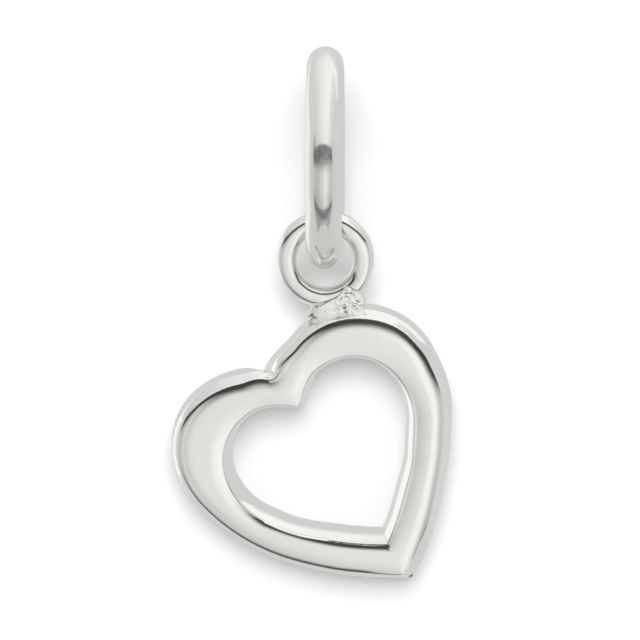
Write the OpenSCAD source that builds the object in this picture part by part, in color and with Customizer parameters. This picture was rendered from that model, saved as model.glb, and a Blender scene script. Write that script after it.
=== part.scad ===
// Open heart pendant, hanging as it is worn.
// X runs across the front, +Y to the back, +Z up, all in millimetres.
// The origin is the inside top of the jump ring, where the chain carries it.

/* [Jump ring] */
// Outside diameter of the jump ring
jump_ring_od = 8.0; // [7.6:0.1:10]
// Wire diameter of the jump ring
jump_ring_wire = 1.3; // [1.0:0.05:1.4]

/* [Eye ring] */
// Outside diameter of the small ring soldered to the heart
eye_od = 3.5; // [3.4:0.05:3.8]
// Wire diameter of the small ring
eye_wire = 0.75; // [0.6:0.05:0.8]
// Play between the two wires where the eye hangs on the jump ring
hang_gap = 0.06; // [0.04:0.01:0.15]

/* [Solder] */
// Width of the solder pad, side to side
solder_w = 2.0; // [1.6:0.1:2.2]
// Depth of the solder pad, front to back
solder_depth = 1.0; // [0.8:0.05:1.1]
// Sideways place of the pad's middle, from the middle of the eye
solder_offset = 0.4; // [0.2:0.05:0.5]

/* [Heart] */
// Front to back thickness of the heart
heart_depth = 1.55; // [1.2:0.05:1.8]
// Lean of the heart's axis, its tip to the right
heart_tilt = 33.2; // [30:0.1:36]
// Drop from the middle of the eye to the middle of the heart
heart_drop = 6.84; // [6.7:0.01:6.9]
// Sideways place of the heart, which brings its weight under the jump ring
heart_shift = 0.01; // [-0.2:0.01:0.2]
// How far the heart sits forward of the eye, which brings its weight under it
heart_forward = 0.06; // [0:0.01:0.1]

/* [Outer outline] */
// Distance from the middle of the heart to its outer tip
outer_tip_drop = 5.78; // [5.7:0.01:6]
// Half of the angle between the two flanks at the outer tip
outer_tip_half = 59.7; // [59:0.1:61]
// Radius of the outer flank
outer_flank_r = 13.2; // [12.5:0.1:13.5]
// Turn of the outer flank along its arc
outer_flank_turn = 19.4; // [19:0.1:20]
// Radius of the outer side, above the flank
outer_side_r = 7.5; // [7.2:0.1:8]
// Turn of the outer side along its arc
outer_side_turn = 30.5; // [30:0.1:31]
// Radius of the outer lobe
outer_lobe_r = 2.97; // [2.9:0.01:3.1]
// Small radius in the bottom of the outer notch
outer_notch_r = 0.1; // [0.05:0.01:0.3]
// How far the bottom of the outer notch lies to the left of the heart's axis
notch_lean = 0.2; // [0:0.01:0.25]
// Distance from the notch over which the outline follows that lean
notch_reach = 1.3; // [1:0.1:1.5]

/* [Hole outline at the back] */
// Distance from the middle of the heart to the tip of the hole
hole_tip_drop = 3.75; // [3.7:0.01:4]
// Half of the angle between the two flanks at the tip of the hole
hole_tip_half = 58; // [57:0.1:59]
// Radius of the hole's flank
hole_flank_r = 10.0; // [9.5:0.1:10.5]
// Turn of the hole's flank along its arc
hole_flank_turn = 21.8; // [21:0.1:22.5]
// Radius of the hole's side, above the flank
hole_side_r = 2.77; // [2.6:0.01:2.9]
// Turn of the hole's side along its arc
hole_side_turn = 41.3; // [40:0.1:43]
// Radius of the hole's lobe
hole_lobe_r = 1.7; // [1.6:0.05:1.8]
// Small radius on the point between the hole's lobes, at the front face
hole_point_r = 0.05; // [0.02:0.01:0.2]

/* [Walls] */
// How far the hole widens from the back to the front face
hole_draft = 0.34; // [0.1:0.01:0.4]
// Width of the sloped shoulder round the front face
shoulder_w = 0.28; // [0.1:0.01:0.35]
// Height of the side wall under the shoulder
side_wall_h = 0.8; // [0.4:0.05:0.9]
// How far the side wall leans in, from the back up to the shoulder
side_wall_lean = 0.06; // [0.02:0.01:0.1]
// Bevel of the back's outer edge
back_bevel = 0.08; // [0.04:0.01:0.1]

/* [Hidden] */
$fn = 64;

silver = [0.85, 0.85, 0.83];
// Straight steps along each arc of a half outline
flank_steps = 8;
side_steps = 8;
lobe_steps = 24;
notch_steps = 4;

// Crease in the shoulder, as parts of its width and of the height above the side wall
crease_w = 0.35;
crease_h = 0.6;
// Crease in the hole's wall, as parts of the draft and of the thickness
hole_crease_w = 0.5;
hole_crease_h = 0.4;
// How far the foot of the solder pad lies under the bottom of the eye
solder_sink = 0.6;
// Columns: distance across the pad from its left side, as a part of its width,
// and height above its foot
solder_profile = [
    [0, 0],
    [0.05, 0.78],
    [0.3, 0.98],
    [0.65, 1.28],
    [0.9, 1.13],
    [1, 0.5],
    [1, 0],
];

front = heart_depth / 2;
back = -heart_depth / 2;
wall_top = back + side_wall_h;

jump_ring_path_r = (jump_ring_od - jump_ring_wire) / 2;
jump_ring_z = jump_ring_wire - jump_ring_od / 2;
hinge_z = jump_ring_z - jump_ring_path_r;

eye_path_r = (eye_od - eye_wire) / 2;
eye_hole_r = eye_od / 2 - eye_wire;
eye_z = hinge_z - (eye_hole_r - jump_ring_wire / 2 - hang_gap);

// Columns of an outline: tip drop, half tip angle, flank radius, flank turn,
// side radius, side turn, lobe radius, notch radius, notch lean
outer = [
    outer_tip_drop, outer_tip_half, outer_flank_r, outer_flank_turn,
    outer_side_r, outer_side_turn, outer_lobe_r, outer_notch_r, notch_lean,
];
hole = [
    hole_tip_drop, hole_tip_half, hole_flank_r, hole_flank_turn,
    hole_side_r, hole_side_turn, hole_lobe_r, hole_point_r + hole_draft, 0,
];

// Columns: outline, inset from it, height above the middle of the thickness.
// The rows go once round the band's section, up the outside and down the hole.
section = [
    [outer, back_bevel, back],
    [outer, 0, back + back_bevel],
    [outer, side_wall_lean, wall_top],
    [outer, side_wall_lean + shoulder_w * crease_w, wall_top + (front - wall_top) * crease_h],
    [outer, side_wall_lean + shoulder_w, front],
    [hole, -hole_draft, front],
    [hole, -hole_draft * hole_crease_w, back + heart_depth * hole_crease_h],
    [hole, 0, back],
];

// The side towards which an outline bends, for a heading measured from straight up to the right
function inward(heading) = [-cos(heading), sin(heading)];

// Centres of the three arcs of a right half, each arc running smoothly into the next
function flank_centre(o) = [0, -o[0]] + o[2] * inward(o[1]);
function side_centre(o) = flank_centre(o) - (o[2] - o[4]) * inward(o[1] - o[3]);
function lobe_centre(o) = side_centre(o) - (o[4] - o[6]) * inward(o[1] - o[3] - o[5]);

// Heading at the tip, where a flank of this radius meets the heart's axis
function tip_heading(o, radius) = acos(-flank_centre(o)[0] / radius);

// Heading at which the lobe runs into the small round of the notch, which is centred on the axis
function notch_heading(o) = -acos(-lobe_centre(o)[0] / (o[6] + o[7]));
function notch_centre(o) = lobe_centre(o) - (o[6] + o[7]) * inward(notch_heading(o));

function arc_points(centre, radius, from, to, steps) =
    [for (i = [0 : steps - 1]) centre - radius * inward(from + (to - from) * i / steps)];

// Right half of an outline drawn in by an inset, from the tip to the notch, both on the axis
function half_outline(o, inset) =
    let (
        flank_r = o[2] - inset,
        side_from = o[1] - o[3],
        lobe_from = side_from - o[5],
        notch_from = notch_heading(o)
    )
    concat(
        arc_points(flank_centre(o), flank_r, tip_heading(o, flank_r), side_from, flank_steps),
        arc_points(side_centre(o), o[4] - inset, side_from, lobe_from, side_steps),
        arc_points(lobe_centre(o), o[6] - inset, lobe_from, notch_from, lobe_steps),
        arc_points(notch_centre(o), -o[7] - inset, notch_from, -90, notch_steps),
        [notch_centre(o) - [0, o[7] + inset]]
    );

// A point moved with the lean of the notch, less and less with its distance from the notch
function leaned(o, point) =
    let (part = min(norm(point - notch_centre(o)) / notch_reach, 1))
    point - [o[8] * pow(1 - part * part, 2), 0];

// The whole outline: up the right half, back down its mirror image, and then leaned
function whole_outline(o, inset) =
    let (
        half = half_outline(o, inset),
        last = len(half) - 1,
        mirrored = [for (i = [last - 1 : -1 : 1]) [-half[i][0], half[i][1]]]
    )
    [for (point = concat(half, mirrored)) leaned(o, point)];

// The open band, lying on its back with its axis along +Y
module heart_band() {
    rows = len(section);
    outlines = [for (row = section) whole_outline(row[0], row[1])];
    stations = len(outlines[0]);
    polyhedron(
        points = [
            for (s = [0 : stations - 1])
                for (r = [0 : rows - 1])
                    [outlines[r][s][0], outlines[r][s][1], section[r][2]]
        ],
        faces = [
            for (s = [0 : stations - 1])
                for (r = [0 : rows - 1])
                    let (next_s = (s + 1) % stations, next_r = (r + 1) % rows)
                    [s * rows + r, s * rows + next_r, next_s * rows + next_r, next_s * rows + r]
        ]
    );
}

module wire_ring(path_r, wire) {
    rotate_extrude() translate([path_r, 0]) circle(d = wire);
}

// Pad under the eye, higher on the right, that runs down into the heart
module solder_pad() {
    left = solder_offset - solder_w / 2;
    foot = -eye_od / 2 - solder_sink;
    translate([0, solder_depth / 2, 0])
        rotate([90, 0, 0])
            linear_extrude(solder_depth)
                polygon([for (p = solder_profile) [left + p[0] * solder_w, foot + p[1]]]);
}

module jump_ring() {
    color(silver)
        translate([0, 0, jump_ring_z])
            rotate([0, 90, 0])
                wire_ring(jump_ring_path_r, jump_ring_wire);
}

module heart() {
    color(silver)
        translate([0, 0, eye_z]) {
            rotate([90, 0, 0]) wire_ring(eye_path_r, eye_wire);
            solder_pad();
            translate([heart_shift, -heart_forward, -heart_drop])
                rotate([90, 0, 0])
                    rotate([0, 0, heart_tilt])
                        heart_band();
        }
}

jump_ring();
heart();
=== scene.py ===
# Open heart pendant in polished silver, hanging by its jump ring in front of a pale board
import math

import bmesh
import bpy
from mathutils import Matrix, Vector, noise


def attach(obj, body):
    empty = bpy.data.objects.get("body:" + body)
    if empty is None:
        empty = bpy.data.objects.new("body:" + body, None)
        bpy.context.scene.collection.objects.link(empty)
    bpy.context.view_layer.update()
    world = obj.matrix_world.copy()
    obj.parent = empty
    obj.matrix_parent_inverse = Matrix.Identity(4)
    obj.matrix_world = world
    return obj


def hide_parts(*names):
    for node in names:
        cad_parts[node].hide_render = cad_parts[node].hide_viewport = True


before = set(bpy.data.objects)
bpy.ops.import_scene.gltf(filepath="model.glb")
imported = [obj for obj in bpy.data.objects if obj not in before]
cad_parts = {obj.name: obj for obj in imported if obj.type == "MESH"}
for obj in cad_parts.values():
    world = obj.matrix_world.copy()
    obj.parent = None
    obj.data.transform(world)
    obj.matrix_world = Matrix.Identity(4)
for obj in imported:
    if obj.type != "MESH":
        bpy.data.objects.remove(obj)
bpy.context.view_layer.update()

MM = 0.001

# Sizes in millimetres and degrees, the same as in the solids
jump_ring_path_r = 3.35
jump_ring_wire = 1.3
jump_ring_z = -2.7
eye_path_r = 1.375
eye_wire = 0.75
eye_z = -6.34
heart_drop = 6.84
heart_shift = 0.01
heart_forward = 0.06
heart_tilt = 33.2
heart_depth = 1.55
outer_tip_drop = 5.78
hole_tip_drop = 3.75
hole_tip_half = 57.5
hole_draft = 0.34
notch_reach = 1.3
solder_w = 2.0
solder_depth = 1.0
solder_offset = 0.4
solder_sink = 0.6

# Heights on the heart, from the middle of its thickness towards its front
front = heart_depth / 2
back = -front
under_face = front - 1e-5

# Points nearer to each other than this, in metres, are one
same_place = 1e-6
# The same for points that a cut on the heart's axis leaves
cut_gap = 1e-7


# Hand tools

def deselect():
    if bpy.context.mode != "OBJECT":
        bpy.ops.object.mode_set(mode="OBJECT")
    bpy.ops.object.select_all(action="DESELECT")


def take(piece):
    """Selects the piece alone."""
    deselect()
    piece.select_set(True)
    bpy.context.view_layer.objects.active = piece


def named(name):
    """Names the new piece, and brings its place into its mesh."""
    piece = bpy.context.active_object
    piece.name = name
    piece.data.name = name
    bpy.ops.object.transform_apply(location=True, rotation=True, scale=True)
    return piece


def edit(piece):
    """Opens the piece alone in edit mode, with all of it selected."""
    take(piece)
    bpy.ops.object.mode_set(mode="EDIT")
    bpy.ops.mesh.select_mode(type="VERT")
    bpy.ops.mesh.select_all(action="SELECT")


def pick(piece, kind, test):
    """Selects what passes the test among the verts or edges of the piece in edit mode."""
    bpy.ops.mesh.select_mode(type={"verts": "VERT", "edges": "EDGE"}[kind])
    bpy.ops.mesh.select_all(action="DESELECT")
    shape = bmesh.from_edit_mesh(piece.data)
    for part in getattr(shape, kind):
        if test(part):
            part.select_set(True)
    bmesh.update_edit_mesh(piece.data)


def modify(piece, kind, **settings):
    """Adds a modifier to the piece and applies it."""
    take(piece)
    modifier = piece.modifiers.new(kind.title(), kind)
    for key, value in settings.items():
        setattr(modifier, key, value)
    bpy.ops.object.modifier_apply(modifier=modifier.name)


def close_up(piece):
    """Merges doubles, closes what is left open and turns all faces outwards."""
    edit(piece)
    bpy.ops.mesh.remove_doubles(threshold=same_place)
    bpy.ops.mesh.select_all(action="SELECT")
    bpy.ops.mesh.fill_holes(sides=6)
    bpy.ops.mesh.select_all(action="SELECT")
    bpy.ops.mesh.normals_make_consistent(inside=False)
    deselect()


def settle(piece, crease):
    """Brings the piece's place into its mesh and smooths it up to that angle in degrees."""
    take(piece)
    bpy.ops.object.transform_apply(location=True, rotation=True, scale=True)
    bpy.ops.object.shade_smooth_by_angle(angle=math.radians(crease))


def drawn_line(name, places):
    """A line of edges through places in millimetres, left open in edit mode."""
    corners = [place * MM for place in places]
    deselect()
    bpy.ops.mesh.primitive_plane_add(size=MM, location=corners[0])
    line = named(name)
    edit(line)
    bpy.ops.mesh.merge(type="CENTER")
    for here, after in zip(corners, corners[1:]):
        bpy.ops.mesh.extrude_region_move(TRANSFORM_OT_translate={"value": after - here})
    return line


def ease(part):
    """Goes smoothly from 0 to 1 as the part does."""
    part = min(max(part, 0), 1)
    return part * part * (3 - 2 * part)


def hump(away, reach):
    """1 at the middle, and smoothly down to 0 at its reach."""
    return math.cos(math.radians(90 * away / reach)) ** 2 if away < reach else 0


def height_on(rows, place):
    """Height at a place on a line of rows with the columns place and height."""
    for (a, low), (b, high) in zip(rows, rows[1:]):
        if place <= b:
            return low + (high - low) * max(place - a, 0) / (b - a)
    return rows[-1][1]


# Outlines of the heart

def inward(heading):
    """The side towards which an outline bends, for a heading from straight up to the right."""
    return Vector((-math.cos(math.radians(heading)), math.sin(math.radians(heading))))


class Outline:
    """The right half of a heart's outline: three arcs and the small round of the notch."""

    def __init__(self, tip_drop, tip_half, flank_r, flank_turn, side_r, side_turn, lobe_r, notch_r):
        flank_centre = Vector((0, -tip_drop)) + flank_r * inward(tip_half)
        side_from = tip_half - flank_turn
        side_centre = flank_centre - (flank_r - side_r) * inward(side_from)
        lobe_from = side_from - side_turn
        lobe_centre = side_centre - (side_r - lobe_r) * inward(lobe_from)
        notch_from = -math.degrees(math.acos(-lobe_centre.x / (lobe_r + notch_r)))
        self.notch_centre = lobe_centre - (lobe_r + notch_r) * inward(notch_from)
        self.tip_half, self.tip_centre, self.tip_r = tip_half, flank_centre, flank_r
        # Columns: centre, radius, heading at its start and at its end. The flank runs on past the tip
        self.bends = [
            (flank_centre, flank_r, 120, side_from),
            (side_centre, side_r, side_from, lobe_from),
            (lobe_centre, lobe_r, lobe_from, notch_from),
        ]
        # Columns: centre, heading at its end, steps. The notch runs on past the heart's axis
        self.arcs = [
            (flank_centre, side_from, 40),
            (side_centre, lobe_from, 40),
            (lobe_centre, notch_from, 110),
            (self.notch_centre, -87, 14),
        ]

    def near(self, u, v):
        """Inset of a point from the outline, and the way outwards there as the pendant hangs."""
        # Degrees past its ends for which an arc still counts
        slack = 1
        side = -1 if u < 0 else 1
        at = Vector((abs(u), v))
        best = None
        for centre, radius, start, end in self.bends:
            way = at - centre
            heading = math.degrees(math.atan2(-way.y, way.x))
            inset = radius - way.length
            closer = best is None or abs(inset) < abs(best[0])
            if closer and end - slack <= heading <= start + slack:
                best = (inset, Vector((side * way.x, way.y)).normalized())
        if best is None:
            best = ((at - self.notch_centre).length, Vector((0, 1)))
        turn = math.radians(heart_tilt)
        x, z = best[1]
        return best[0], Vector((
            x * math.cos(turn) - z * math.sin(turn), x * math.sin(turn) + z * math.cos(turn),
        ))


outer = Outline(
    tip_drop=outer_tip_drop, tip_half=59.7, flank_r=13.2, flank_turn=19.4,
    side_r=7.5, side_turn=30.5, lobe_r=2.97, notch_r=0.1,
)
hole = Outline(
    tip_drop=hole_tip_drop, tip_half=hole_tip_half, flank_r=10.3, flank_turn=22.9,
    side_r=2.3, side_turn=48.5, lobe_r=1.82, notch_r=0.09 + hole_draft,
)


def swept(name, outline, section, rounds, over):
    """Spins a section along both halves of an outline.
    Columns of the section: inset from the outline, height towards the front.
    Columns of the rounds: place of a corner in the section, its round.
    It starts that far over the tip, in degrees, and is then cut on the heart's axis."""
    start = outline.tip_half + over
    places = []
    for inset, height in section:
        u, v = outline.tip_centre - (outline.tip_r - inset) * inward(start)
        places.append(Vector((u, -height, v)))
    strip = drawn_line(name, places)
    for corner, offset in rounds:
        at = places[corner] * MM
        pick(strip, "verts", lambda v: (v.co - at).length < same_place)
        bpy.ops.mesh.bevel(offset=offset * MM, segments=4, affect="VERTICES", clamp_overlap=True)
    bpy.ops.mesh.select_all(action="SELECT")
    heading = start
    for centre, until, steps in outline.arcs:
        bpy.ops.mesh.spin(
            steps=steps,
            angle=math.radians(heading - until),
            center=Vector((centre.x, 0, centre.y)) * MM,
            axis=(0, 1, 0),
        )
        heading = until
    bpy.ops.mesh.select_all(action="SELECT")
    bpy.ops.mesh.bisect(plane_co=(0, 0, 0), plane_no=(1, 0, 0), clear_inner=True, threshold=1e-8)
    bpy.ops.mesh.select_all(action="SELECT")
    bpy.ops.mesh.remove_doubles(threshold=cut_gap)
    modify(
        strip, "MIRROR",
        use_axis=(True, False, False), use_mirror_merge=True, merge_threshold=2 * same_place,
    )
    return strip


# Heart band, made lying on its back with its axis along Z

def rounded_rim(inset, height, radius, flat, steep, steps):
    """Rows of a rounded rim from the face down to the wall, between two tilts in degrees."""
    level = math.radians(flat)
    rows = []
    for step in range(steps + 1):
        tilt = math.radians(flat + (steep - flat) * step / steps)
        rows.append((
            inset + radius * (math.sin(tilt) - math.sin(level)),
            height - radius * (math.cos(level) - math.cos(tilt)),
        ))
    return rows


# Columns of each section: inset from the outline, height towards the front
top_shoulder = [
    (0.053, 0.31), (0.10, 0.42), (0.15, 0.525), (0.20, 0.615), (0.225, 0.647), (0.24, 0.663),
    (0.255, 0.677), (0.27, 0.6855), (0.30, 0.6955), (0.35, 0.7115), (0.40, 0.7255), (0.45, 0.7375),
    (0.50, 0.7475), (0.55, 0.7565), (0.60, 0.764), (0.65, 0.769), (0.70, 0.7725), (0.75, 0.7745),
    (0.79, front),
]
# The same shoulder at the right of the pendant, where it slopes more gently
right_shoulder = [
    (0.053, 0.31), (0.10, 0.40), (0.15, 0.487), (0.20, 0.565), (0.235, 0.61), (0.25, 0.628),
    (0.30, 0.66), (0.35, 0.688), (0.40, 0.712), (0.45, 0.732), (0.50, 0.747), (0.55, 0.757),
    (0.60, 0.764), (0.65, 0.7685), (0.70, 0.772), (0.75, 0.774), (0.79, front),
]
side_wall = [(0.25, back), (0.12, back), (0, back + 0.1), (0.033, 0.2), (0.036, 0.27), (0.055, 0.29)]
back_corner = 2
hole_face = [(-hole_draft - 0.07, front), (-hole_draft - 0.01, front)]
hole_rim = rounded_rim(inset=-hole_draft, height=front, radius=0.09, flat=2, steep=74, steps=8)
hole_wall = [
    (-0.275, 0.7), (-0.20, 0.48), (-0.165, 0.37), (-0.134, 0.26), (-0.111, 0.16), (-0.093, 0.06),
    (-0.078, -0.05), (-0.05, -0.3), (0, back + 0.04), (-0.04, back), (-0.1, back),
]


def spot(v):
    """Place of a vertex on the lying heart: to its right, towards its front, up its axis."""
    return v.co.x / MM, -v.co.y / MM, v.co.z / MM


def slope_shoulder(band):
    """Slopes the shoulder more gently at the right, and rounds it more towards the left."""
    low_inset, low = 0.053, 0.31
    high_inset, high = 0.45, 0.737
    # How far the outline looks to a side where the change starts, and over how much it grows
    right_from, right_over = 0.45, 0.5
    left_from, left_over = 0.3, 0.7
    for v in band.data.vertices:
        u, height, w = spot(v)
        inset, way = outer.near(u, w)
        if way.x > 0 and low < height < under_face:
            wanted = height_on(right_shoulder, inset)
            sideways = ease((way.x - right_from) / right_over)
        elif height > low and low_inset < inset < high_inset:
            part = (high_inset - inset) / (high_inset - low_inset)
            wanted = low + (high - low) * math.sqrt(1 - part * part)
            sideways = ease((abs(way.x) - left_from) / left_over)
        else:
            continue
        v.co.y = -(height + (wanted - height) * sideways) * MM


def blend_flanks(band):
    """Lets the two flanks of the shoulder run into each other at the tip without a ridge."""
    ridge_reach = 0.22
    flanks_low, flanks_below = 0.35, -4
    for v in band.data.vertices:
        u, height, w = spot(v)
        if flanks_low < height < under_face and w < flanks_below:
            own = outer.tip_r - (Vector((abs(u), w)) - outer.tip_centre).length
            other = outer.tip_r - (Vector((-abs(u), w)) - outer.tip_centre).length
            shared = own - max(ridge_reach - abs(own - other), 0) ** 2 / (4 * ridge_reach)
            v.co.y += (height_on(top_shoulder, own) - height_on(top_shoulder, shared)) * MM


def flatten_ends(band):
    """Keeps the face flatter near the tip and the notch."""
    # Columns: place, how much flatter it is there, reach
    ends = [(Vector((0, -outer_tip_drop)), 0.5, 1.8), (outer.notch_centre, 0.15, 1.4)]
    flattened_above = 0.675
    for v in band.data.vertices:
        u, height, w = spot(v)
        if height > flattened_above:
            flatter = sum(
                share * max(1 - (Vector((u, w)) - place).length / reach, 0)
                for place, share, reach in ends
            )
            v.co.y = -(height + (front - height) * flatter) * MM


def swell(strip, places):
    """Moves an outline out or in, as a heart made by hand does.
    Columns: direction from the right as the pendant hangs, reach to both sides, move outwards."""
    for v in strip.data.vertices:
        direction = math.degrees(math.atan2(v.co.z, v.co.x)) + heart_tilt
        move = 0
        for middle, reach, out in places:
            move += out * hump(abs((direction - middle + 180) % 360 - 180), reach)
        v.co += Vector((v.co.x, 0, v.co.z)).normalized() * move * MM


def shift_notch(strip, outline, at_back, at_front):
    """Moves the notch of an outline sideways and up, at its back and at its front."""
    for v in strip.data.vertices:
        off = (Vector((v.co.x, v.co.z)) / MM - outline.notch_centre).length
        part = (1 - min(off / notch_reach, 1) ** 2) ** 2
        forward = (-v.co.y / MM - back) / heart_depth
        sideways, up = (a + (b - a) * forward for a, b in zip(at_back, at_front))
        v.co.x += sideways * part * MM
        v.co.z += up * part * MM


def join_strips(band, hole_strip):
    """Joins the outside and the hole by the front face and the back, and cuts the face finely."""
    take(band)
    hole_strip.select_set(True)
    bpy.ops.object.join()
    for height in (front, back):
        edit(band)
        pick(
            band, "edges",
            lambda e: e.is_boundary and all(abs(v.co.y + height * MM) < same_place for v in e.verts),
        )
        bpy.ops.mesh.bridge_edge_loops()
        deselect()
    close_up(band)
    longest_cut = 0.2
    edit(band)
    pick(
        band, "edges",
        lambda e: all(abs(v.co.y + front * MM) < same_place for v in e.verts)
        and e.calc_length() > longest_cut * MM,
    )
    bpy.ops.mesh.subdivide(number_cuts=15)
    deselect()


def sink_rim(band):
    """Lets the face sink gently towards the hole, by another depth on each side of it."""
    # Columns: way outwards from the hole as the pendant hangs, depth at the rim, reach from it
    sides = [((1, 0), 0.085, 0.6), ((-1, 0), 0.04, 0.5), ((0, -1), 0.06, 0.3), ((0, 1), 0.02, 0.6)]
    wall_height, wall_rise = 0.2, 0.5
    blend_below, blend_half = -3, 0.8
    point_half = 0.8
    off_axis = 0.01
    tip = Vector((0, -hole_tip_drop - hole_draft / math.sin(math.radians(hole_tip_half))))
    wedge = math.tan(math.radians(90 - hole_tip_half))
    for v in band.data.vertices:
        u, height, w = spot(v)
        part = min(max((height - wall_height) / wall_rise, 0), 1)
        if part == 0:
            continue
        inset, way = hole.near(u, w)
        off = max(-inset - hole_draft, 0)
        past_tip = Vector((u, w)) - tip
        if past_tip.y < 0 and abs(past_tip.x) < -past_tip.y * wedge:
            off = past_tip.length
        if w < blend_below and abs(u) < blend_half:
            left_way, right_way = (hole.near(side * max(abs(u), off_axis), w)[1] for side in (-1, 1))
            way = left_way.lerp(right_way, ease(0.5 + u / (2 * blend_half))).normalized()
        shares = [max(way.dot(Vector(side)), 0) ** 2 for side, _, _ in sides]
        sink = sum(share * depth for share, (_, depth, _) in zip(shares, sides))
        reach = sum(share * far for share, (_, _, far) in zip(shares, sides))
        if w > 0:
            sink *= min(abs(u) / point_half, 1)
        v.co.y += sink * max(1 - off / reach, 0) ** 2 * part * MM


def make_heart_band():
    """The open band, turned up and leaned as it hangs."""
    band = swept(
        "heart_band", outer, side_wall + top_shoulder, rounds=[(back_corner, 0.03)], over=0.3,
    )
    hole_strip = swept("hole_strip", hole, hole_face + hole_rim + hole_wall, rounds=[], over=2.2)
    slope_shoulder(band)
    blend_flanks(band)
    flatten_ends(band)
    swell(band, [
        (170, 34, 0.17), (300, 28, -0.03), (343, 22, -0.03), (24, 22, 0.13), (50, 30, 0.05),
    ])
    shift_notch(band, outer, at_back=(-0.44, 0.156), at_front=(-0.04, 0.243))
    shift_notch(hole_strip, hole, at_back=(0.08, -0.16), at_front=(0.08, -0.16))
    swell(hole_strip, [(70, 40, 0.09), (12, 30, -0.07), (330, 26, -0.06), (250, 30, 0.07)])
    join_strips(band, hole_strip)
    sink_rim(band)
    edit(band)
    bpy.ops.mesh.normals_make_consistent(inside=False)
    deselect()
    band.rotation_euler = (0, -math.radians(heart_tilt), 0)
    band.location = Vector((heart_shift, -heart_forward, eye_z - heart_drop)) * MM
    settle(band, crease=25)
    return band


# Rings of round wire

def wire_ring(name, path_r, wire, axis, z, steps, uneven, square=2):
    """A ring of wire about the X or the Y axis, slightly uneven as drawn wire is.
    Square is 2 for round wire and more for wire that is pressed flatter on its sides."""
    axis = Vector(axis)
    side = Vector((axis.y, axis.x, 0))
    wire_sides = 64
    deselect()
    bpy.ops.mesh.primitive_circle_add(
        vertices=wire_sides, radius=wire / 2 * MM, location=side * path_r * MM,
    )
    ring = named(name)
    edit(ring)
    bpy.ops.mesh.spin(steps=steps, angle=2 * math.pi, center=(0, 0, 0), axis=axis)
    close_up(ring)
    long_waves, short_waves, short_share = 0.9, 2.3, 0.4
    long_waves_start = Vector((3.1, 0.4, 7.7))
    for v in ring.data.vertices:
        at = v.co / MM
        radial = (at - axis * at.dot(axis)).normalized()
        middle = radial * path_r
        out = (at - middle).normalized()
        a, b = abs(out.dot(axis)), abs(out.dot(radial))
        fuller = (a ** square + b ** square) ** (-1 / square)
        wave = noise.noise(at * long_waves + long_waves_start)
        wave += short_share * noise.noise(at * short_waves)
        v.co = (middle + out * (wire / 2 * fuller + wave * uneven)) * MM
    ring.location = (0, 0, z * MM)
    settle(ring, crease=60)
    return ring


def make_eye_ring():
    """The small ring, whose wire leans back at its lower right, beside the solder."""
    lean_at, lean_reach, lean = -27, 30, 0.26
    ring = wire_ring(
        "eye_ring", eye_path_r, eye_wire, axis=(0, 1, 0), z=eye_z, steps=160, uneven=0.02, square=2.7,
    )
    for v in ring.data.vertices:
        x, z = v.co.x / MM, v.co.z / MM - eye_z
        away = abs(math.degrees(math.atan2(z, x)) - lean_at)
        middle = Vector((x, z)).normalized() * eye_path_r
        v.co.y += lean * hump(away, lean_reach) * (z - middle.y) * MM
    return ring


# Solder between the eye and the heart

def make_solder():
    """A pad with a stepped and lumpy top, higher on its right."""
    # Columns: part of the width from the left, height of the top above the foot
    top = [
        (0, 0.35), (0.05, 0.6), (0.16, 0.64), (0.38, 0.88), (0.56, 1.08), (0.64, 1.38),
        (0.72, 1.48), (0.8, 1.32), (0.96, 1.14), (1, 0.8),
    ]
    # Columns: scale, depth
    lumps = [(4, 0.05), (8, 0.035), (16, 0.015)]
    # The part of the width near which the pad is smooth
    smooth_at = 0.3
    least_lumpy = 0.05
    foot = eye_z - eye_path_r - eye_wire / 2 - solder_sink
    deselect()
    bpy.ops.mesh.primitive_cube_add(size=MM)
    pad = named("solder")
    edit(pad)
    bpy.ops.mesh.subdivide(number_cuts=47)
    deselect()
    for v in pad.data.vertices:
        x, y, z = v.co / MM
        part, up = x + 0.5, z + 0.5
        # Its front stands out more towards the top, and its back and its ends draw in
        forward = 0.84 + 0.22 * up
        backward = 1 - 0.45 * up * up
        ends = 1 - 0.2 * (2 * part - 1) ** 4
        deep = solder_depth * (forward if y < 0 else backward) * ends
        at = Vector((solder_offset + x * solder_w, y * deep, foot + up * height_on(top, part)))
        lumpy = min(max(abs(part - smooth_at) * 6 - 0.7, least_lumpy), 1)
        rough = lumpy * sum(depth * noise.noise(at * scale) for scale, depth in lumps)
        v.co = (at + Vector((x, y, z)).normalized() * rough) * MM
    edit(pad)
    bpy.ops.mesh.vertices_smooth(factor=0.5, repeat=1)
    close_up(pad)
    settle(pad, crease=60)
    return pad


heart_band = make_heart_band()
jump_ring = wire_ring(
    "jump_ring_wire", jump_ring_path_r, jump_ring_wire,
    axis=(1, 0, 0), z=jump_ring_z, steps=224, uneven=0.012,
)
eye_ring = make_eye_ring()
solder = make_solder()


# Materials

class Wire:
    """A socket's value, for shader maths written as expressions."""

    def __init__(self, finish, socket):
        self.finish, self.socket = finish, socket

    def maths(self, operation, first, second):
        return self.finish.node("ShaderNodeMath", {"operation": operation}, {0: first, 1: second})

    def __add__(self, other):
        return self.maths("ADD", self, other)

    def __radd__(self, other):
        return self.maths("ADD", other, self)

    def __sub__(self, other):
        return self.maths("SUBTRACT", self, other)

    def __rsub__(self, other):
        return self.maths("SUBTRACT", other, self)

    def __mul__(self, other):
        return self.maths("MULTIPLY", self, other)

    def __rmul__(self, other):
        return self.maths("MULTIPLY", other, self)


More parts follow.
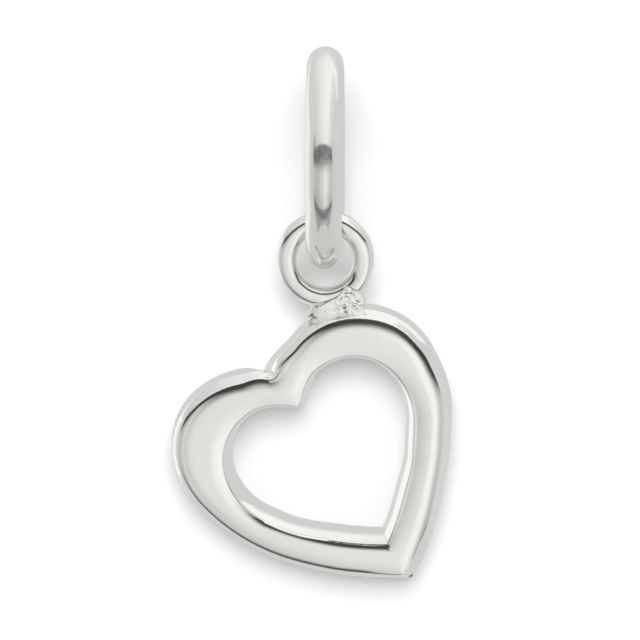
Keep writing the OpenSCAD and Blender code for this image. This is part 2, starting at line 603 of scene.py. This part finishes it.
class Finish:
    """A material and its nodes."""

    def __init__(self, name):
        self.material = bpy.data.materials.new(name)
        self.material.use_nodes = True
        self.tree = self.material.node_tree
        self.tree.nodes.clear()

    def node(self, kind, settings=None, sockets=None, out=0):
        """One node: its settings first, then the values or links of its sockets."""
        made = self.tree.nodes.new(kind)
        for key, value in (settings or {}).items():
            if key == "stops":
                ramp = made.color_ramp
                while len(ramp.elements) < len(value):
                    ramp.elements.new(1)
                for element, (position, colour) in zip(ramp.elements, value):
                    element.position = position
                    element.color = colour
            else:
                setattr(made, key, value)
        for key, value in (sockets or {}).items():
            if isinstance(value, Wire):
                self.tree.links.new(value.socket, made.inputs[key])
            else:
                made.inputs[key].default_value = value
        return Wire(self, made.outputs[out]) if made.outputs else None

    def place(self):
        """The place on the piece in millimetres."""
        at = self.node("ShaderNodeTexCoord", out="Object")
        return self.node("ShaderNodeMapping", {}, {"Vector": at, "Scale": (1 / MM, 1 / MM, 1 / MM)})

    def clouds(self, at, scale, detail, rough=0.5):
        return self.node(
            "ShaderNodeTexNoise", {},
            {"Vector": at, "Scale": scale, "Detail": detail, "Roughness": rough},
        )

    def colours(self, value, stops):
        """A colour that follows a value through its stops of position and colour."""
        solid = [(position, (*colour, 1)) for position, colour in stops]
        return self.node("ShaderNodeValToRGB", {"stops": solid}, {"Fac": value})

    def greys(self, value, stops):
        """A grey that follows a value through its stops of position and level."""
        return self.colours(value, [(position, (level, level, level)) for position, level in stops])

    def bump(self, height, depth, under=None):
        """Relief with its depth in millimetres, on top of another one."""
        sockets = {"Height": height, "Strength": 1.0, "Distance": depth * MM}
        if under:
            sockets["Normal"] = under
        return self.node("ShaderNodeBump", {}, sockets)

    def metal(self, colour, roughness, normal):
        shader = self.node(
            "ShaderNodeBsdfPrincipled", {},
            {"Base Color": colour, "Metallic": 1.0, "Roughness": roughness, "Normal": normal},
        )
        return self.done(shader)

    def light(self, glow):
        return self.done(self.node("ShaderNodeEmission", {}, {"Color": glow, "Strength": 1.0}))

    def matt(self, level):
        return self.node("ShaderNodeBsdfDiffuse", {}, {"Color": (*level, 1)})

    def done(self, shader):
        self.node("ShaderNodeOutputMaterial", {}, {"Surface": shader})
        return self.material


def silver(name, gloss, waves, haze=0):
    """Polished silver. Gloss and the haze of fine scratches are roughness, waves a depth."""
    gloss_spread = 0.06
    mark_depth = 0.0012
    finish = Finish(name)
    at = finish.place()
    broad = finish.clouds(at, scale=0.45, detail=2)
    fine = finish.clouds(at, scale=9, detail=3)
    drawn = finish.node(
        "ShaderNodeMapping", {}, {"Vector": at, "Scale": (1, 1, 14), "Rotation": (0, 0.6, 0)},
    )
    lines = finish.clouds(drawn, scale=3.5, detail=3)
    colour = finish.colours(broad, [(0.35, (0.955, 0.945, 0.92)), (0.7, (0.92, 0.91, 0.885))])
    roughness = gloss + gloss_spread * (fine * 0.6 + lines * 0.4)
    if haze:
        scratches = finish.clouds(at, scale=120, detail=0)
        roughness = roughness + haze * finish.greys(scratches, [(0.54, 0), (0.6, 1)])
    wavy = finish.bump(broad, waves)
    marked = finish.bump(lines * 0.5 + fine * 0.5, mark_depth, wavy)
    return finish.metal(colour, roughness, marked)


def solder_silver():
    """Solder: bright, with pits and small runs."""
    finish = Finish("solder_silver")
    at = finish.place()
    runs = finish.clouds(at, scale=4, detail=4, rough=0.65)
    pits = finish.node("ShaderNodeTexVoronoi", {}, {"Vector": at, "Scale": 8.5}, out="Distance")
    colour = finish.colours(runs, [(0.3, (0.86, 0.85, 0.82)), (0.6, (0.97, 0.965, 0.94))])
    pitted = finish.bump(pits, 0.004, finish.bump(runs, 0.005))
    return finish.metal(colour, 0.1 + 0.15 * runs, pitted)


for piece, material in (
    (heart_band, silver("heart_silver", gloss=0.05, waves=0.01)),
    (jump_ring, silver("ring_silver", gloss=0.04, waves=0.02, haze=0.55)),
    (eye_ring, silver("wire_silver", gloss=0.04, waves=0.02)),
    (solder, solder_silver()),
):
    piece.data.materials.clear()
    piece.data.materials.append(material)


# Light cards, curved round a middle at the height lights_z, which only the polish sees

lights_z = -10
strip_distance = 300


def curved(sheet, steps, turn, axis):
    """Spins the open line of a card round the middle of the lights."""
    bpy.ops.mesh.select_all(action="SELECT")
    bpy.ops.mesh.spin(
        steps=steps, angle=math.radians(turn), center=(0, 0, lights_z * MM), axis=axis,
    )
    deselect()


def unseen(sheet, material):
    """Gives a card its light and leaves it to the polish alone."""
    sheet.data.materials.append(material)
    sheet.visible_camera = False
    sheet.visible_diffuse = False
    sheet.visible_shadow = False
    sheet.visible_transmission = False


def glow(name, around, upright):
    """Light whose strength changes with the angle round and up, each given as stops in degrees."""
    finish = Finish(name)
    split = finish.node(
        "ShaderNodeSeparateXYZ", {}, {0: finish.node("ShaderNodeTexCoord", out="Object")},
    )
    x, y, z = (Wire(finish, split.socket.node.outputs[axis]) for axis in "XYZ")
    strength = 1
    for side, stops in ((x, around), (z - lights_z * MM, upright)):
        angle = finish.node("ShaderNodeMath", {"operation": "ARCTAN2"}, {0: side, 1: 0 - y})
        turned = [(0.5 + degrees / 360, level) for degrees, level in stops]
        strength = strength * finish.greys(0.5 + angle * (0.5 / math.pi), turned)
    return finish.light(strength)


def card(name, low, high, left, right, distance, around, upright):
    """A part of a globe of light, in degrees up and round from the front."""
    rows = 8
    places = []
    for row in range(rows + 1):
        up = math.radians(low + (high - low) * row / rows)
        places.append(Vector((
            distance * math.cos(up) * math.sin(math.radians(left)),
            -distance * math.cos(up) * math.cos(math.radians(left)),
            distance * math.sin(up) + lights_z,
        )))
    sheet = drawn_line(name, places)
    curved(sheet, steps=32, turn=left - right, axis=(0, 0, 1))
    unseen(sheet, glow(name, around, upright))


def strip_light(name, low, high, across):
    """A strip of light over the pendant, in degrees up from the front.
    Columns: place across as a part of the strip's distance, strength."""
    left, right = across[0][0], across[-1][0]
    # The width that the stops are spread over, as a part of the same distance
    widest = 4
    up = math.radians(low)
    places = [
        Vector((side, -math.cos(up), math.sin(up))) * strip_distance + Vector((0, 0, lights_z))
        for side in (left, right)
    ]
    sheet = drawn_line(name, places)
    curved(sheet, steps=48, turn=high - low, axis=(1, 0, 0))
    finish = Finish(name)
    x = finish.node("ShaderNodeSeparateXYZ", {}, {0: finish.node("ShaderNodeTexCoord", out="Object")})
    part = 0.5 + x * (1 / (widest * strip_distance * MM))
    turned = [(0.5 + place / widest, level) for place, level in across]
    unseen(sheet, finish.light(finish.greys(part, turned)))


strip_light("overhead_light", 25, 137, [
    (-1.6, 0.66), (-0.78, 0.68), (-0.3, 0.84), (0.1, 0.95), (0.5, 1), (0.6, 1),
])
strip_light("overhead_right_light", 25, 124, [(0.6, 0.84), (0.8, 0.77), (1.2, 0.70), (1.6, 0.66)])
strip_light("rear_right_light", 124, 148, [(0.6, 1), (1.4, 0.9)])
rear_width = 4
for number in range(4):
    rear_start = 137 + rear_width * number
    fading = 0.93 - 0.07 * number
    strip_light(
        "rear_light_%d" % (number + 1), rear_start, rear_start + rear_width,
        [(-1, 0.66), (-0.3, 0.7), (0.1, fading), (0.6, fading)],
    )
card(
    "low_rear_light", low=-30, high=14, left=90, right=270, distance=300,
    around=[(-175, 0.66), (-160, 0.7), (-148, 1), (-110, 1), (-96, 0.8), (100, 0.7), (160, 0.66)],
    upright=[(-180, 1), (180, 1)],
)
card(
    "front_light", low=-62, high=26, left=-66, right=60, distance=520,
    around=[
        (-60, 0.6), (-36, 0.52), (-10, 0.75), (-1, 0.8), (6, 0.93), (14, 0.98), (26, 0.85), (44, 0.6),
    ],
    upright=[
        (-62, 0.55), (-56, 0.5), (-53, 0.1), (-46.8, 0.1), (-45, 0.45), (-42, 0.82), (-30, 0.93),
        (-15, 1), (-5, 1), (2, 0.85), (7, 0.5), (10.5, 0.2), (12.5, 0.09), (18, 0.06),
    ],
)


# Floor and board

def make_floor():
    """A pale floor under the pendant, one metre wide."""
    floor_z = -24
    deselect()
    bpy.ops.mesh.primitive_plane_add(size=1, location=(0, 0, floor_z * MM))
    floor = named("floor")
    finish = Finish("pale_floor")
    floor.data.materials.append(finish.done(finish.matt((0.6, 0.6, 0.59))))
    floor.visible_glossy = False


def make_board():
    """A sheet that stands close behind the heart and bends back behind the jump ring.
    It is clear from behind, so that the pendant shows from there too."""
    half_width = 22
    # Columns: distance behind the pendant's middle, height
    line = [
        (0.82, -42), (0.82, -18), (0.85, -12), (1.0, -10), (1.5, -8.4), (2.75, -6.3),
        (4.2, -3.9), (4.3, -2.2), (4.3, 12),
    ]
    board = drawn_line("board", [Vector((-half_width, behind, height)) for behind, height in line])
    bpy.ops.mesh.select_all(action="SELECT")
    across = (2 * half_width * MM, 0, 0)
    bpy.ops.mesh.extrude_region_move(TRANSFORM_OT_translate={"value": across})
    bpy.ops.mesh.select_all(action="SELECT")
    bpy.ops.mesh.flip_normals()
    modify(board, "SUBSURF", levels=3, render_levels=3)
    settle(board, crease=60)
    finish = Finish("white_board")
    from_behind = finish.node("ShaderNodeNewGeometry", out="Backfacing")
    clear = finish.node("ShaderNodeBsdfTransparent")
    both = finish.node(
        "ShaderNodeMixShader", {}, {0: from_behind, 1: finish.matt((0.92, 0.92, 0.92)), 2: clear},
    )
    board.data.materials.append(finish.done(both))
    board.visible_glossy = False


# Studio light and camera

def outlook(azimuth, elevation):
    """The way from the pendant at an angle round from the front and up, in degrees."""
    a, e = math.radians(azimuth), math.radians(elevation)
    return Vector((math.sin(a) * math.cos(e), -math.cos(a) * math.cos(e), math.sin(e)))


def face(holder, way, distance, middle):
    """Puts a lamp or a camera at a distance from the middle, looking at it, in millimetres."""
    bpy.context.scene.collection.objects.link(holder)
    holder.location = (middle + way * distance) * MM
    holder.rotation_euler = way.to_track_quat("Z", "Y").to_euler()


def light_studio():
    """An even pale surrounding and one soft lamp over the camera."""
    world = bpy.data.worlds.new("studio")
    world.use_nodes = True
    sky = world.node_tree.nodes["Background"]
    sky.inputs["Color"].default_value = (1, 1, 1, 1)
    sky.inputs["Strength"].default_value = 0.66
    bpy.context.scene.world = world
    lamp = bpy.data.lights.new("key", "AREA")
    lamp.shape = "DISK"
    lamp.size = 220 * MM
    lamp.energy = 0.64
    holder = bpy.data.objects.new("key", lamp)
    way = outlook(azimuth=0, elevation=30)
    face(holder, way, distance=300, middle=Vector((0, 0, lights_z)))
    holder.visible_glossy = False
    holder.visible_camera = False


def set_camera():
    """A long lens at the photograph's angle, at its scale and with the origin at its pixel."""
    photo_size = 640
    pixels_per_mm = 28.1
    origin_pixel = (325.2, 83.7)
    azimuth, elevation = 1.2, 11.3
    optics = bpy.data.cameras.new("camera")
    optics.lens = 400
    optics.sensor_width = 36
    optics.clip_start = 0.01
    optics.clip_end = 3
    way = outlook(azimuth, elevation)
    right = Vector((math.cos(math.radians(azimuth)), math.sin(math.radians(azimuth)), 0))
    up = right.cross(-way)
    aim = right * (photo_size / 2 - origin_pixel[0]) - up * (photo_size / 2 - origin_pixel[1])
    distance = photo_size / pixels_per_mm * optics.lens / optics.sensor_width
    camera = bpy.data.objects.new("camera", optics)
    face(camera, way, distance, middle=aim / pixels_per_mm)
    bpy.context.scene.camera = camera
    bpy.context.scene.view_settings.view_transform = "Standard"


make_floor()
make_board()
light_studio()
set_camera()


# Pieces and bodies

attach(jump_ring, "jump_ring")
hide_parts("jump_ring")
for piece in (heart_band, eye_ring, solder):
    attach(piece, "heart")
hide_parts("heart")
